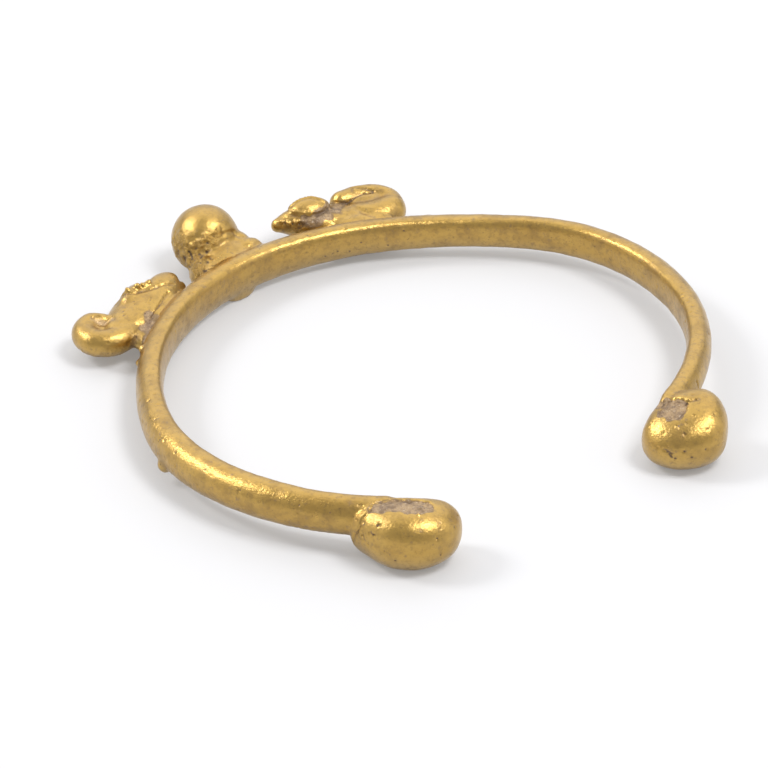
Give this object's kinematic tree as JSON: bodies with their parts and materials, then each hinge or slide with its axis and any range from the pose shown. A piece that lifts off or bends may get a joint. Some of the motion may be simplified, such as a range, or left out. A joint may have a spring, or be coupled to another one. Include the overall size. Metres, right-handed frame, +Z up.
{
  "type": "amulet bracelet",
  "caption": "Open cast bracelet with rolled ends, a round knob at the front and a curl-tailed lizard-like animal on each side of it.",
  "frame": {"origin": "on the table under the middle of the bracelet's outline, at the level of its underside", "axes": "+Z up from the table, -Y toward the knob at the front, +Y toward the gap between the rolled ends"},
  "size_m": [0.0706, 0.0762, 0.0082],
  "materials": {
    "bracelet": "worn satin casting with dark pits and dirt in the recesses"
  },
  "bodies": {
    "root": {"bracelet": "bracelet"}
  },
  "joints": []
}
